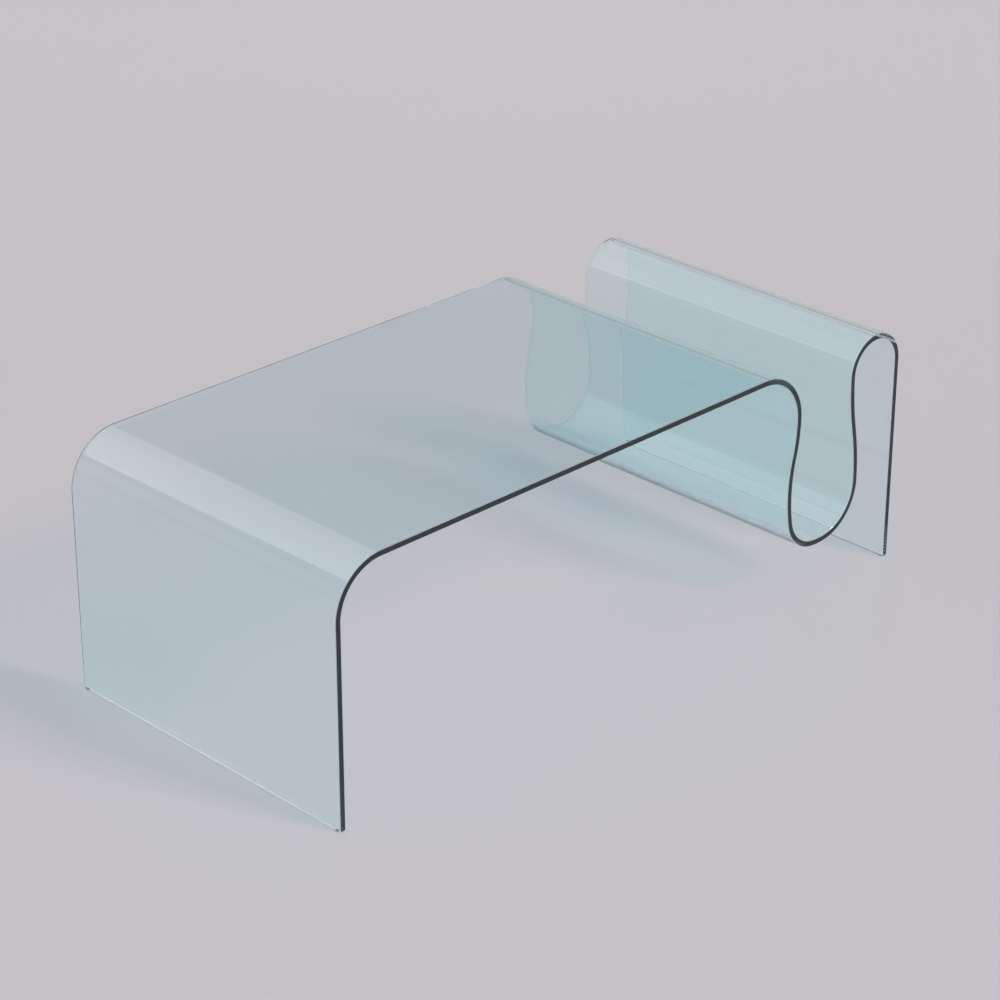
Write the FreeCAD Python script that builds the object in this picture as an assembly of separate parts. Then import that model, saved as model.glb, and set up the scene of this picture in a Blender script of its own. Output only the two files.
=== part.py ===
import FreeCAD, Part
import math
import os

# Coffee table bent from one sheet of clear float glass.  From the left the sheet is a leg, a quarter
# bend, the top, a fold, a hanging trough for magazines, an arch and a second leg.  It stands on four
# small clear pads.  Millimetres and degrees.  The origin is on the floor under the middle of the
# table, +X runs along it towards the trough, +Y across the sheet and +Z up.

# Overall size
length = 1250.0
width = 600.0
height = 430.0                 # floor to the top face

# Sheet
glass_thickness = 10.0
arris = 0.7                    # bevel ground along every edge

# Bends outside the trough.  Every radius is taken at the middle of the sheet's thickness.
leg_bend_radius = 84.0
fold_radius = 88.0
arch_radius = 56.0
crown_drop = 2.5               # the arch's crown below the top face

# Trough, from the fold round to the arch
near_wall_swing = 16.0         # how far the wall under the fold swings back under the top
heel_radius = 280.0
heel_turn = 11.0
near_corner_radius = 66.0
near_corner_turn = 70.0
trough_floor_radius = 125.0
trough_floor_turn = 17.0
far_corner_radius = 82.0
far_wall_swing = 19.0          # how far the wall under the arch swings out towards the right leg
trough_clearance = 91.0        # floor to the trough's underside

# Pads
pad_height = 2.0
pad_margin = 0.3               # pad's rim to the arris, on both sides
pad_inset = 5.0                # pad's rim to the sheet's side edge
pad_rim_radius = 0.6

# Heights and places of the middle of the sheet
top_level = height - glass_thickness / 2
trough_level = trough_clearance + glass_thickness / 2
left_leg_x = -(length - glass_thickness) / 2
right_leg_x = (length - glass_thickness) / 2

# Headings along the trough.  0 points along +X, 90 up and -90 down.
DOWN = -90.0
LEVEL = 0.0
UP = 90.0
heel_end = DOWN + heel_turn
near_corner_end = heel_end + near_corner_turn
trough_floor_end = near_corner_end + trough_floor_turn


def reach(radius, start, end):
    """Distance along +X covered by a bend to the left, from one heading to another."""
    return radius * (math.sin(math.radians(end)) - math.sin(math.radians(start)))


def rise(radius, start, end):
    """Height gained over a bend to the left, from one heading to another."""
    return radius * (math.cos(math.radians(start)) - math.cos(math.radians(end)))


def swing_arcs(drop, sideways):
    """Radius and turn of two equal, opposite arcs that shift a wall sideways over a drop."""
    turn = 2 * math.atan2(sideways, drop)
    return drop / (2 * math.sin(turn)), math.degrees(turn)


def along_run(station, run):
    """Station at the end of a straight run.  A station is x, z and heading."""
    x, z, heading = station
    angle = math.radians(heading)
    return x + run * math.cos(angle), z + run * math.sin(angle), heading


def along_bend(station, radius, turn):
    """Station at the end of a bend.  A positive turn goes to the left."""
    x, z, heading = station
    signed_radius = math.copysign(radius, turn)
    new_heading = heading + turn
    return (x + reach(signed_radius, heading, new_heading),
            z + rise(signed_radius, heading, new_heading), new_heading)


def middle_line():
    """Middle of the sheet from foot to foot: two stations for each run, three for each bend."""
    steps = []
    station = (left_leg_x, pad_height, UP)

    def straight(run):
        nonlocal station
        end = along_run(station, run)
        steps.append((station, end))
        station = end

    def bend(radius, turn):
        nonlocal station
        middle = along_bend(station, radius, turn / 2)
        end = along_bend(station, radius, turn)
        steps.append((station, middle, end))
        station = end

    waist_level = trough_level - (rise(heel_radius, DOWN, heel_end)
                                  + rise(near_corner_radius, heel_end, near_corner_end)
                                  + rise(trough_floor_radius, near_corner_end, LEVEL))
    belly_level = trough_level + (rise(trough_floor_radius, LEVEL, trough_floor_end)
                                  + rise(far_corner_radius, trough_floor_end, UP))
    trough_reach = (reach(heel_radius, DOWN, heel_end)
                    + reach(near_corner_radius, heel_end, near_corner_end)
                    + reach(trough_floor_radius, near_corner_end, trough_floor_end)
                    + reach(far_corner_radius, trough_floor_end, UP))
    arch_level = top_level - crown_drop - arch_radius
    fold_x = right_leg_x - 2 * arch_radius + far_wall_swing - trough_reach + near_wall_swing
    near_radius, near_lean = swing_arcs(top_level - fold_radius - waist_level, near_wall_swing)
    far_radius, far_lean = swing_arcs(arch_level - belly_level, far_wall_swing)

    straight(top_level - leg_bend_radius - pad_height)
    bend(leg_bend_radius, LEVEL - UP)
    straight(fold_x - fold_radius - (left_leg_x + leg_bend_radius))
    bend(fold_radius, DOWN - LEVEL)
    bend(near_radius, -near_lean)
    bend(near_radius, near_lean)
    bend(heel_radius, heel_turn)
    bend(near_corner_radius, near_corner_turn)
    bend(trough_floor_radius, trough_floor_turn)
    bend(far_corner_radius, UP - trough_floor_end)
    bend(far_radius, far_lean)
    bend(far_radius, -far_lean)
    bend(arch_radius, DOWN - UP)
    straight(arch_level - pad_height)
    return steps


def beside(station, offset):
    """Point on the sheet's front side face, at an offset to the left of the middle line."""
    x, z, heading = station
    angle = math.radians(heading)
    return FreeCAD.Vector(x - offset * math.sin(angle), -width / 2, z + offset * math.cos(angle))


def face_edges(steps, offset):
    """Edges of one of the sheet's two faces, from the left foot to the right foot."""
    edges = []
    for step in steps:
        points = [beside(station, offset) for station in step]
        if len(points) == 2:
            edges.append(Part.makeLine(*points))
        else:
            edges.append(Part.Arc(*points).toShape())
    return edges


def glass_sheet():
    """The bent sheet: its profile drawn across the width, then bevelled along every edge."""
    steps = middle_line()
    half = glass_thickness / 2
    outer = face_edges(steps, half)
    inner = face_edges(steps, -half)
    left_foot = Part.makeLine(beside(steps[0][0], half), beside(steps[0][0], -half))
    right_foot = Part.makeLine(beside(steps[-1][-1], half), beside(steps[-1][-1], -half))
    outline = Part.Wire(Part.__sortEdges__(outer + inner + [left_foot, right_foot]))
    blank = Part.Face(outline).extrude(FreeCAD.Vector(0, width, 0))
    slack = arris / 2
    rims = [edge for edge in blank.Edges
            if edge.BoundBox.YLength < slack or edge.BoundBox.ZMax < pad_height + slack]
    return blank.makeChamfer(arris, rims)


def floor_pad(x, side):
    """Clear pad stuck under a leg's lower edge, near one side of the sheet (-1 front, +1 back)."""
    radius = glass_thickness / 2 - arris - pad_margin
    y = side * (width / 2 - pad_inset - radius)
    disc = Part.makeCylinder(radius, pad_height, FreeCAD.Vector(x, y, 0))
    tread = [edge for edge in disc.Edges if edge.BoundBox.ZMax < pad_height / 2]
    return disc.makeFillet(pad_rim_radius, tread)


os.makedirs("parts", exist_ok=True)
glass_sheet().exportStep("parts/glass_sheet.step")
for leg, leg_x in (("left", left_leg_x), ("right", right_leg_x)):
    for place, side in (("front", -1), ("back", 1)):
        floor_pad(leg_x, side).exportStep("parts/floor_pad_" + leg + "_" + place + ".step")
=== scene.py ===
import math

import bmesh
import bpy
from mathutils import Matrix, Vector


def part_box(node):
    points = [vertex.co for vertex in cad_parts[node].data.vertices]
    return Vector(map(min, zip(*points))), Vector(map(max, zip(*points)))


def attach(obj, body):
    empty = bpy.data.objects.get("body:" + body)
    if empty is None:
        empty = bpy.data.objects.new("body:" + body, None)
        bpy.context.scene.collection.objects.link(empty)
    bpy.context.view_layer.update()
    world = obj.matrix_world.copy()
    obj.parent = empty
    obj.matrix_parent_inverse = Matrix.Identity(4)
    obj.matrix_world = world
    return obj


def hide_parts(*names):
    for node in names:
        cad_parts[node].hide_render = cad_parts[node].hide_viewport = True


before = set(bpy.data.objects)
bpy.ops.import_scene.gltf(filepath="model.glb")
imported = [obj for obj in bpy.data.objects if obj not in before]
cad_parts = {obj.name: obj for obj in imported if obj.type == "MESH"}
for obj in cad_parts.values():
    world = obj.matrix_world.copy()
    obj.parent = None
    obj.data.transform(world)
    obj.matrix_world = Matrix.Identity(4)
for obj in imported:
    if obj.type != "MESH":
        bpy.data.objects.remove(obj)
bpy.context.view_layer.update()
scene = bpy.context.scene


# Camera.  A long lens stands about five metres off the table's left front corner, well above the
# top, and looks down past it, so that the top, the left leg and the trough's open end all show.
camera_place = Vector((-3.1607, -3.1740, 2.4233))
camera_heading = 44.857                  # degrees from +Y round towards +X
camera_tilt = 26.222                     # degrees below level
camera_roll = 0.090
camera_data = bpy.data.cameras.new("camera")
camera_data.sensor_width = 36.0
camera_data.lens = 112.12
camera_data.clip_start = 0.1
camera_data.clip_end = 200.0
camera = bpy.data.objects.new("camera", camera_data)
scene.collection.objects.link(camera)
camera.matrix_world = (Matrix.Translation(camera_place)
                       @ Matrix.Rotation(math.radians(-camera_heading), 4, "Z")
                       @ Matrix.Rotation(math.radians(90.0 - camera_tilt), 4, "X")
                       @ Matrix.Rotation(math.radians(camera_roll), 4, "Z"))
scene.camera = camera


# Glass sheet.  One 10 mm pane of clear float glass with a ground and polished edge all round.  It
# is heated in a kiln and slumped over moulds, so leg, top, trough, arch and second leg are one
# piece with nothing to join them.
sheet_low, sheet_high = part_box("glass_sheet")
glass_thickness = 0.010
arris = 0.0007                           # bevel ground along the front edge and the feet
back_round = 0.0045                      # rounding of the back edge
leg_bend_radius = 0.084                  # radii are taken at the middle of the thickness
fold_radius = 0.088
arch_radius = 0.056
crown_drop = 0.0025                      # the arch's crown below the top face
near_wall_swing = 0.016                  # how far the wall under the fold swings back under the top
heel_radius = 0.280
heel_turn = 11.0                         # turns are in degrees
near_corner_radius = 0.066
near_corner_turn = 70.0
trough_floor_radius = 0.125
trough_floor_turn = 17.0
far_corner_radius = 0.082
far_wall_swing = 0.019                   # how far the wall under the arch swings out towards the leg
trough_clearance = 0.091                 # floor to the trough's underside
facet = 0.75                             # degrees of bend for each strip of the mesh

half_width = (sheet_high.y - sheet_low.y) / 2
foot_level = sheet_low.z
top_level = sheet_high.z - glass_thickness / 2
trough_level = trough_clearance + glass_thickness / 2
left_leg_x = sheet_low.x + glass_thickness / 2
right_leg_x = sheet_high.x - glass_thickness / 2
DOWN, LEVEL, UP = -90.0, 0.0, 90.0       # headings along the sheet
heel_end = DOWN + heel_turn
near_corner_end = heel_end + near_corner_turn
trough_floor_end = near_corner_end + trough_floor_turn


def reach(radius, start, end):
    """Distance along +X covered by a bend to the left, from one heading to another."""
    return radius * (math.sin(math.radians(end)) - math.sin(math.radians(start)))


def rise(radius, start, end):
    """Height gained over a bend to the left, from one heading to another."""
    return radius * (math.cos(math.radians(start)) - math.cos(math.radians(end)))


def swing_arcs(drop, sideways):
    """Radius and turn of two equal, opposite arcs that shift a wall sideways over a drop."""
    turn = 2 * math.atan2(sideways, drop)
    return drop / (2 * math.sin(turn)), math.degrees(turn)


class Sheet:
    """The sheet as it is drawn out of its left foot: a cross-section that runs straight or bends."""

    def __init__(self, x, z):
        self.mesh = bmesh.new()
        bmesh.ops.create_grid(self.mesh, x_segments=1, y_segments=1, size=0.5)
        bmesh.ops.scale(self.mesh, vec=(glass_thickness, 2 * half_width, 1), verts=self.mesh.verts)
        bmesh.ops.translate(self.mesh, vec=(x, 0, z), verts=self.mesh.verts)
        self.end = self.mesh.verts[:] + self.mesh.edges[:] + self.mesh.faces[:]
        self.x, self.z, self.heading = x, z, UP

    def straight(self, run):
        """Draws the sheet on along its heading."""
        angle = math.radians(self.heading)
        step = Vector((math.cos(angle), 0, math.sin(angle)))
        self.end = bmesh.ops.extrude_face_region(self.mesh, geom=self.end)["geom"]
        bmesh.ops.translate(self.mesh, vec=step * run,
                            verts=[part for part in self.end if isinstance(part, bmesh.types.BMVert)])
        self.x += step.x * run
        self.z += step.z * run

    def bend(self, radius, turn):
        """Draws the sheet on round a bend.  A positive turn goes to the left of the heading."""
        signed_radius = math.copysign(radius, turn)
        angle = math.radians(self.heading)
        centre = Vector((self.x - signed_radius * math.sin(angle), 0,
                         self.z + signed_radius * math.cos(angle)))
        drawn = bmesh.ops.spin(self.mesh, geom=self.end, cent=centre, axis=(0, -1, 0),
                               angle=math.radians(turn), steps=math.ceil(abs(turn) / facet))
        self.end = drawn["geom_last"]
        end_heading = self.heading + turn
        self.x += reach(signed_radius, self.heading, end_heading)
        self.z += rise(signed_radius, self.heading, end_heading)
        self.heading = end_heading


def made(name, mesh, sharp_angle=20):
    """The object that a finished bmesh becomes, smooth but for edges over an angle in degrees."""
    mesh_data = bpy.data.meshes.new(name)
    mesh.to_mesh(mesh_data)
    mesh.free()
    mesh_data.shade_smooth()
    mesh_data.set_sharp_from_angle(angle=math.radians(sharp_angle))
    piece = bpy.data.objects.new(name, mesh_data)
    scene.collection.objects.link(piece)
    return piece


waist_level = trough_level - (rise(heel_radius, DOWN, heel_end)
                              + rise(near_corner_radius, heel_end, near_corner_end)
                              + rise(trough_floor_radius, near_corner_end, LEVEL))
belly_level = trough_level + (rise(trough_floor_radius, LEVEL, trough_floor_end)
                              + rise(far_corner_radius, trough_floor_end, UP))
trough_reach = (reach(heel_radius, DOWN, heel_end)
                + reach(near_corner_radius, heel_end, near_corner_end)
                + reach(trough_floor_radius, near_corner_end, trough_floor_end)
                + reach(far_corner_radius, trough_floor_end, UP))
arch_level = top_level - crown_drop - arch_radius
fold_x = right_leg_x - 2 * arch_radius + far_wall_swing - trough_reach + near_wall_swing
near_radius, near_lean = swing_arcs(top_level - fold_radius - waist_level, near_wall_swing)
far_radius, far_lean = swing_arcs(arch_level - belly_level, far_wall_swing)

sheet = Sheet(left_leg_x, foot_level)
sheet.straight(top_level - leg_bend_radius - foot_level)
sheet.bend(leg_bend_radius, LEVEL - UP)
sheet.straight(fold_x - fold_radius - (left_leg_x + leg_bend_radius))
sheet.bend(fold_radius, DOWN - LEVEL)
sheet.bend(near_radius, -near_lean)
sheet.bend(near_radius, near_lean)
sheet.bend(heel_radius, heel_turn)
sheet.bend(near_corner_radius, near_corner_turn)
sheet.bend(trough_floor_radius, trough_floor_turn)
sheet.bend(far_corner_radius, UP - trough_floor_end)
sheet.bend(far_radius, far_lean)
sheet.bend(far_radius, -far_lean)
sheet.bend(arch_radius, DOWN - UP)
sheet.straight(arch_level - foot_level)

bmesh.ops.recalc_face_normals(sheet.mesh, faces=sheet.mesh.faces)
square = math.radians(60)                # the bends' own facets turn far less than this
rims = [edge for edge in sheet.mesh.edges if edge.calc_face_angle() > square]
back_rims = [edge for edge in rims
             if min(point.co.y for point in edge.verts) > half_width - arris
             and max(point.co.z for point in edge.verts) > foot_level + arris]
bmesh.ops.bevel(sheet.mesh, geom=back_rims, offset=back_round, offset_type="OFFSET", affect="EDGES",
                segments=10, profile=0.5, material=-1, clamp_overlap=False)
rims = [edge for edge in sheet.mesh.edges if edge.calc_face_angle() > square]
bmesh.ops.bevel(sheet.mesh, geom=rims, offset=arris, offset_type="OFFSET", affect="EDGES",
                segments=1, profile=0.5, material=-1, clamp_overlap=False)
bmesh.ops.recalc_face_normals(sheet.mesh, faces=sheet.mesh.faces)
bent_glass = made("bent_glass", sheet.mesh)
even = bent_glass.modifiers.new("even_normals", "WEIGHTED_NORMAL")
even.keep_sharp = True


class Field:
    """A value, colour, vector or shader in a set of nodes.  Arithmetic on a value adds Math nodes."""

    def __init__(self, tree, socket=None):
        self.tree = tree
        self.socket = socket

    def node(self, kind, settings=None, inputs=None, output=0):
        """Adds a node: its settings first, then the values or links of its sockets."""
        new_node = self.tree.nodes.new("ShaderNode" + kind)
        for name, value in (settings or {}).items():
            setattr(new_node, name, value)
        for name, value in (inputs or {}).items():
            if isinstance(value, Field):
                self.tree.links.new(value.socket, new_node.inputs[name])
            else:
                new_node.inputs[name].default_value = value
        return Field(self.tree, new_node.outputs[output])

    def math(self, operation, first, second):
        return self.node("Math", {"operation": operation}, {0: first, 1: second})

    def mix(self, share, first, second):
        """Colour between two, by a share from 0 to 1."""
        return self.node("Mix", {"data_type": "RGBA"}, {0: share, 6: first, 7: second}, 2)

    def part(self, axis):
        """A vector's part along one axis."""
        return self.node("SeparateXYZ", inputs={"Vector": self}, output=axis)

    def between(self, start, end, easing="LINEAR"):
        """Share from 0 to 1 as the value goes from start to end."""
        return self.node("MapRange", {"interpolation_type": easing},
                         {"Value": self, "From Min": start, "From Max": end})

    def eased(self, start, end):
        """The same share, eased at both ends."""
        return self.between(start, end, "SMOOTHSTEP")

    def __add__(self, other):
        return self.math("ADD", self, other)

    def __radd__(self, other):
        return self.math("ADD", other, self)

    def __sub__(self, other):
        return self.math("SUBTRACT", self, other)

    def __rsub__(self, other):
        return self.math("SUBTRACT", other, self)

    def __mul__(self, other):
        return self.math("MULTIPLY", self, other)

    def __rmul__(self, other):
        return self.math("MULTIPLY", other, self)

    def __pow__(self, other):
        return self.math("POWER", self, other)


def bare_nodes(owner):
    """Clears the nodes of a material, lamp or world, and gives the field that new ones grow from."""
    owner.use_nodes = True
    owner.node_tree.nodes.clear()
    return Field(owner.node_tree)


def show(shader, output="OutputMaterial"):
    """Links a finished shader to the surface of its material, lamp or world."""
    output_node = shader.tree.nodes.new("ShaderNode" + output)
    shader.tree.links.new(shader.socket, output_node.inputs["Surface"])


glass_tint = (0.874, 0.992, 0.998, 1.0)      # of light that has crossed the sheet
underside_painted_shade = (0.10, 0.12, 0.14, 1.0)          # painted shade where a line of sight grazes the trough's underside
fold_crest_painted_shade = (0.50, 0.82, 0.86, 1.0)          # painted shade, most of all in red, where it grazes the fold's crest
cut_edge_painted_shade = (0.02, 0.03, 0.04, 1.0)          # painted shade where it goes into the cut edge from outside, left of far_side
fold_start = 0.28                            # along +X, just before the top runs into the fold
far_side = 0.50                              # along +X, where the trough turns up to its far wall
crest_heights = (0.39, 0.41)                 # from none of the fold's painted shade to all of it
underside_heights = (0.18, 0.14)             # from none of the underside's painted shade to all of it
underside_tilts = (-0.2, -0.5)               # the same, by the upward part of where a face looks
grazing = (0.60, 0.80)                       # the same for both painted shades, with 0 head-on and 1 edge-on
face_roughness = 0.002
cut_roughness = 0.03                         # added on the polished cut edge
arris_roughness = 0.7                        # added on the arris, which is ground and left matt
arris_glint = 0.6                            # share of the arris that shines like metal outside
arris_glint_loss = 0.5                       # taken off where it looks up
no_glow = (0.0, 0.0, 0.0, 1.0)
painted_edge_glow = (0.008, 0.014, 0.020, 1.0)       # painted glow out of a cut edge, for light led along inside the sheet
lamp_tint = (0.919, 0.980, 0.999, 1.0)       # of lamp light, at each face that it crosses
lamp_loss = 0.4                              # part of the mirrored light that a lamp loses at a face
head_on = 0.043                              # share of light that a face mirrors head-on
glass_index = 1.52
wave_height = 0.00010                        # left in the faces by the kiln
grinding_depth = 0.00001                     # left in the cut edge by the wheel

glass = bpy.data.materials.new("clear_float_glass")
field = bare_nodes(glass)
place = field.node("TexCoord", output="Object")
along, across, height = (place.part(axis) for axis in "XYZ")
upright = field.node("NewGeometry", output="Normal").part("Z")
from_outside = 1 - field.node("NewGeometry", output="Backfacing")
facing = field.node("LayerWeight", inputs={"Blend": 0.5}, output="Facing")

# past_rim is 0 on the front edge and the feet, and -arris where their arris meets a face.
past_rim = field.math("MAXIMUM", -1 * across - half_width, foot_level - height)
cut_edge = field.math("GREATER_THAN", past_rim, -0.1 * arris)
ground_arris = field.math("GREATER_THAN", past_rim, -0.9 * arris) - cut_edge
near_side = field.math("LESS_THAN", along, far_side)
# The next three masks place painted shade: on the fold's crest, on the trough's underside, and where a
# line of sight grazes a face.
crest_shade_mask = field.math("GREATER_THAN", along, fold_start) * near_side * height.between(*crest_heights)
underside_shade_mask = height.between(*underside_heights) * upright.between(*underside_tilts)
grazed_for_painted_shade = facing.between(*grazing)
# The base colour is the glass's tint, with painted shade where a line of sight grazes the trough's
# underside and the fold's crest, and on the cut edge seen from outside.
tint_and_painted_shade = field.mix(underside_shade_mask * grazed_for_painted_shade, glass_tint, underside_painted_shade)
tint_and_painted_shade = field.mix(crest_shade_mask * grazed_for_painted_shade, tint_and_painted_shade, fold_crest_painted_shade)
tint_and_painted_shade = field.mix(cut_edge * from_outside * near_side, tint_and_painted_shade, cut_edge_painted_shade)

grinding = field.node("TexNoise", inputs={"Vector": place, "Scale": 900.0, "Detail": 2.0})
waviness = field.node("TexNoise", inputs={"Vector": place, "Scale": 9.0, "Detail": 0.0})
relief = waviness * wave_height + grinding * cut_edge * grinding_depth
surface = field.node("BsdfPrincipled", inputs={
    "Base Color": tint_and_painted_shade,
    # Painted glow on the cut edge seen from outside.
    "Emission Color": field.mix(cut_edge * from_outside, no_glow, painted_edge_glow),
    "Emission Strength": 1.0,
    "Roughness": face_roughness + cut_roughness * cut_edge + arris_roughness * ground_arris,
    "Metallic": ground_arris * from_outside * (arris_glint - arris_glint_loss * upright),
    "IOR": glass_index,
    "Transmission Weight": 1.0,
    "Normal": field.node("Bump", inputs={"Height": relief, "Distance": 1.0}),
})
mirrored = head_on + (1 - head_on) * facing ** 5.0
lamp_ray = field.math("MAXIMUM", field.node("LightPath", output="Is Shadow Ray"),
                      field.node("LightPath", output="Is Diffuse Ray"))
lets_through = field.node("BsdfTransparent", inputs={"Color": lamp_tint})
passing = lamp_ray * (1 - lamp_loss * mirrored)
show(field.node("MixShader", inputs={0: passing, 1: surface, 2: lets_through}))
bent_glass.data.materials.append(glass)
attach(bent_glass, "root")
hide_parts("glass_sheet")


# Floor pads.  Four clear domed bumpers of soft polyurethane, 2 mm high.  Each is stuck by its flat
# face under a leg's lower edge near a corner, and keeps the glass off the floor.
pad_film = 0.00015                       # adhesive film between pad and glass
pad_film_margin = 0.0002                 # pad's rim to the film's rim
pad_flank = 0.0003                       # how far the moulded flank draws in towards the floor
pad_tread_round = 0.0006
clear_tint = (0.80, 0.84, 0.84, 1.0)
cloudy_tint = (0.92, 0.95, 0.94, 1.0)
clear_roughness = 0.12
cloudy_roughness = 0.32

polyurethane = bpy.data.materials.new("clear_polyurethane")
field = bare_nodes(polyurethane)
place = field.node("TexCoord", output="Object")
clouding = field.node("TexNoise", inputs={"Vector": place, "Scale": 1500.0, "Detail": 3.0})
surface = field.node("BsdfPrincipled", inputs={
    "Base Color": field.mix(clouding, clear_tint, cloudy_tint),
    "Roughness": clear_roughness + (cloudy_roughness - clear_roughness) * clouding,
    "IOR": 1.5,
    "Transmission Weight": 0.85,
    "Normal": field.node("Bump", inputs={"Height": clouding, "Strength": 0.2, "Distance": 0.00005}),
})
show(surface)


def drawn_down(mesh, end, distance, scale):
    """Extrudes a pad's lower end down, drawn in or let out by a scale, and gives the new end."""
    end = bmesh.ops.extrude_face_region(mesh, geom=end)["geom"]
    points = [part for part in end if isinstance(part, bmesh.types.BMVert)]
    bmesh.ops.translate(mesh, verts=points, vec=(0, 0, -distance))
    bmesh.ops.scale(mesh, verts=points, vec=(scale, scale, 1))
    return end


for pad_node in [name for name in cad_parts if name.startswith("floor_pad_")]:
    pad_low, pad_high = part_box(pad_node)
    pad_radius = (pad_high.x - pad_low.x) / 2
    pad_height = pad_high.z - pad_low.z
    pad_mesh = bmesh.new()
    bmesh.ops.create_circle(pad_mesh, cap_ends=True, segments=48, radius=pad_radius - pad_film_margin)
    bmesh.ops.translate(pad_mesh, verts=pad_mesh.verts, vec=(0, 0, pad_height))
    disc = pad_mesh.verts[:] + pad_mesh.edges[:] + pad_mesh.faces[:]
    end = drawn_down(pad_mesh, disc, pad_film, 1.0)
    end = drawn_down(pad_mesh, end, 0.0, pad_radius / (pad_radius - pad_film_margin))
    end = drawn_down(pad_mesh, end, pad_height - pad_film, (pad_radius - pad_flank) / pad_radius)
    tread = [edge for edge in pad_mesh.edges if all(abs(point.co.z) < pad_film for point in edge.verts)]
    bmesh.ops.bevel(pad_mesh, geom=tread, offset=pad_tread_round, offset_type="OFFSET", affect="EDGES",
                    segments=6, profile=0.5, material=-1)
    bmesh.ops.translate(pad_mesh, verts=pad_mesh.verts,
                        vec=((pad_low.x + pad_high.x) / 2, (pad_low.y + pad_high.y) / 2, pad_low.z))
    bmesh.ops.recalc_face_normals(pad_mesh, faces=pad_mesh.faces)
    bumper = made(pad_node + "_bumper", pad_mesh, sharp_angle=50)
    bumper.data.materials.append(polyurethane)
    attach(bumper, "root")
    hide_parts(pad_node)


# Floor and backdrop.  A seamless sweep of pale lilac-grey paper with a low sheen, which turns a little
# warmer past the table.  Far off it is painted lighter, a painted sheen for the light it mirrors at a
# low angle.
floor_reach = 30.0
front_paper = (0.597, 0.575, 0.600, 1.0)
back_paper = (0.601, 0.570, 0.584, 1.0)
# painted lighter far off: a painted sheen
far_paper_painted_sheen = (0.641, 0.606, 0.620, 1.0)
away = (0.7, 0.7, 0.0)                   # over the floor, from the front left to the back right
front_to_back = (-0.3, 0.7)              # metres past the table's middle, that way
back_to_far = (0.8, 3.2)
paper_roughness = 0.30
fibre_roughness = 0.05                   # added where the paper's fibre is coarse

floor_mesh = bmesh.new()
bmesh.ops.create_grid(floor_mesh, x_segments=1, y_segments=1, size=floor_reach)
floor = made("floor", floor_mesh)
paper = bpy.data.materials.new("studio_floor")
field = bare_nodes(paper)
place = field.node("TexCoord", output="Object")
past = field.node("VectorMath", {"operation": "DOT_PRODUCT"}, {0: place, 1: away}, "Value")
fibre = field.node("TexNoise", inputs={"Vector": place, "Scale": 3.0, "Detail": 4.0})
table_paper = field.mix(past.eased(*front_to_back), front_paper, back_paper)
surface = field.node("BsdfPrincipled", inputs={
    "Base Color": field.mix(past.eased(*back_to_far), table_paper, far_paper_painted_sheen),
    "Roughness": paper_roughness + fibre_roughness * fibre,
    "IOR": 1.45,
})
show(surface)
floor.data.materials.append(paper)


# Light.  A large soft key stands to the front right, and a pale room fills the rest.  A bank over the
# table is there for the glass alone: its bends mirror it as bands that end in a crisp line.
bank_low = Vector((-1.38, 0.0))
bank_high = Vector((0.50, 2.4))
bank_height = 1.28
bank_skew = math.radians(8.0)
bank_radiance = 1.1
key_direction = Vector((0.342, -0.940, 0.78))
key_share = 0.54                         # of the light in which a white floor is just white

bank_data = bpy.data.lights.new("bank", "AREA")
bank_data.shape = "RECTANGLE"
bank_data.size, bank_data.size_y = bank_high - bank_low
bank_data.energy = bank_radiance * math.pi * bank_data.size * bank_data.size_y
field = bare_nodes(bank_data)
fade = field.node("NewGeometry", output="Parametric").part("X")
show(field.node("Emission", inputs={"Color": (1.0, 1.0, 1.0, 1.0), "Strength": 1 - fade}), "OutputLight")
bank = bpy.data.objects.new("bank", bank_data)
scene.collection.objects.link(bank)
bank.location = ((bank_low.x + bank_high.x) / 2, (bank_low.y + bank_high.y) / 2, bank_height)
bank.rotation_euler = (0, 0, bank_skew)
bank.visible_diffuse = False
bank.visible_camera = False
mirrored_pieces = bpy.data.collections.new("mirrored_pieces")
mirrored_pieces.objects.link(bent_glass)
bank.light_linking.receiver_collection = mirrored_pieces

key_data = bpy.data.lights.new("key", "SUN")
key_data.angle = math.radians(14.0)
key_data.energy = key_share * math.pi / key_direction.normalized().z
key_data.color = (1.0, 0.985, 0.97)
key = bpy.data.objects.new("key", key_data)
scene.collection.objects.link(key)
key.rotation_euler = key_direction.to_track_quat("Z", "Y").to_euler()


# Room.  The glass mirrors a wall with a window on the left and a ceiling with a softbox.  Its bends
# show a backdrop with a lit patch above it.  Ranges go from none to all, by a part of the direction:
# 0.5 upward is 30 degrees above the floor.
wall_foot = (0.42, 0.42, 0.43, 1.0)
wall_head = (0.31, 0.33, 0.39, 1.0)
wall_rise = (0.20, 0.38)
window_white = (0.64, 0.64, 0.66, 1.0)
window_side = (-0.25, -0.55)
window_sill = (0.10, 0.22)
window_lintel = (0.45, 0.35)
ceiling_grey = (0.395, 0.39, 0.405, 1.0)
ceiling_rise = (0.455, 0.70)
softbox_white = (0.95, 0.94, 0.95, 1.0)
softbox_foot = (0.47, 0.50)
softbox_near = (0.50, 0.53)
softbox_far = (0.655, 0.635)
softbox_left = (-0.90, -0.30)
softbox_right = (0.0, 0.60)              # where it loses softbox_loss of its light
softbox_loss = 0.25
backdrop_foot = (0.38, 0.40, 0.42, 1.0)
backdrop_grey = (0.60, 0.59, 0.61, 1.0)
backdrop_lit = (0.70, 0.69, 0.72, 1.0)
backdrop_rise = (0.14, 0.28)
backdrop_end = (0.395, 0.36)
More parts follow.
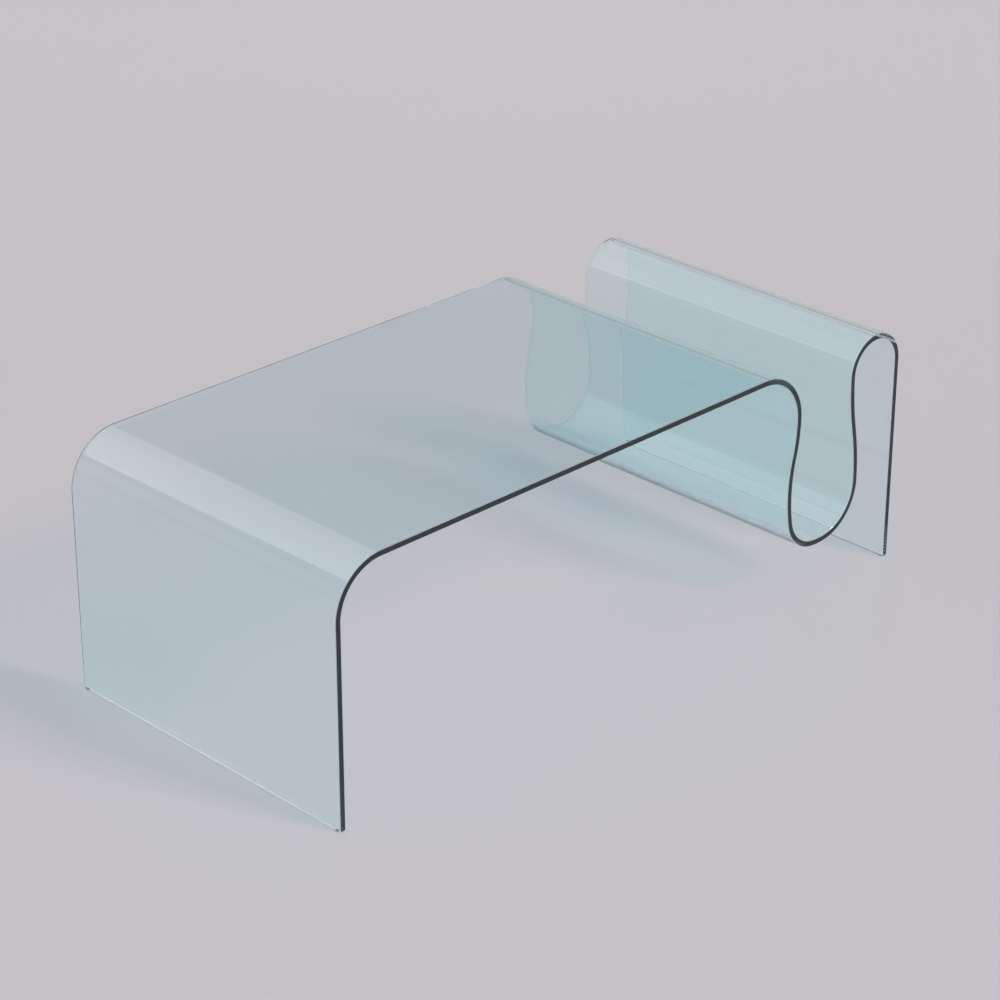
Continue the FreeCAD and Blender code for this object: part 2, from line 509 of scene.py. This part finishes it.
lit_rise = (0.40, 0.46)
skylight_foot = (0.46, 0.49)
skylight_head = (0.57, 0.54)
skylight_near = (0.62, 0.65)
sweep_grey = (0.59, 0.565, 0.58, 1.0)    # the paper sweep behind the table, and mirrored near level
mirrored_sweep = (0.09, 0.04)

world = bpy.data.worlds.new("room")
room = bare_nodes(world)
towards = room.node("TexCoord", output="Generated")
rightward, backward, upward = (towards.part(axis) for axis in "XYZ")
window = rightward.eased(*window_side) * upward.eased(*window_sill) * upward.eased(*window_lintel)
softbox = (upward.eased(*softbox_foot) * backward.eased(*softbox_near) * backward.eased(*softbox_far)
           * rightward.eased(*softbox_left) * (1 - softbox_loss * rightward.eased(*softbox_right)))
mirrored_colour = room.mix(upward.eased(*wall_rise), wall_foot, wall_head)
mirrored_colour = room.mix(window, mirrored_colour, window_white)
mirrored_colour = room.mix(upward.eased(*ceiling_rise), mirrored_colour, ceiling_grey)
mirrored_colour = room.mix(softbox, mirrored_colour, softbox_white)
backdrop_colour = room.mix(upward.eased(*lit_rise), backdrop_grey, backdrop_lit)
backdrop_colour = room.mix(upward.eased(*backdrop_rise), backdrop_foot, backdrop_colour)
skylight = upward.eased(*skylight_foot) * upward.eased(*skylight_head) * backward.eased(*skylight_near)
backdrop_extent = room.math("MAXIMUM", upward.eased(*backdrop_end), skylight)
through_glass = room.node("LightPath", output="Is Transmission Ray") * backdrop_extent
room_colour = room.mix(through_glass, mirrored_colour, backdrop_colour)
mirrored_low = room.node("LightPath", output="Is Glossy Ray") * upward.eased(*mirrored_sweep)
direct = room.math("MAXIMUM", room.node("LightPath", output="Is Camera Ray"), mirrored_low)
seen = room.mix(direct, room_colour, sweep_grey)
show(room.node("Background", inputs={"Color": seen, "Strength": 1.0}), "OutputWorld")
scene.world = world

scene.view_settings.view_transform = "Standard"
scene.cycles.max_bounces = 16
scene.cycles.transmission_bounces = 16
scene.cycles.glossy_bounces = 8
scene.cycles.transparent_max_bounces = 16
scene.cycles.use_denoising = True
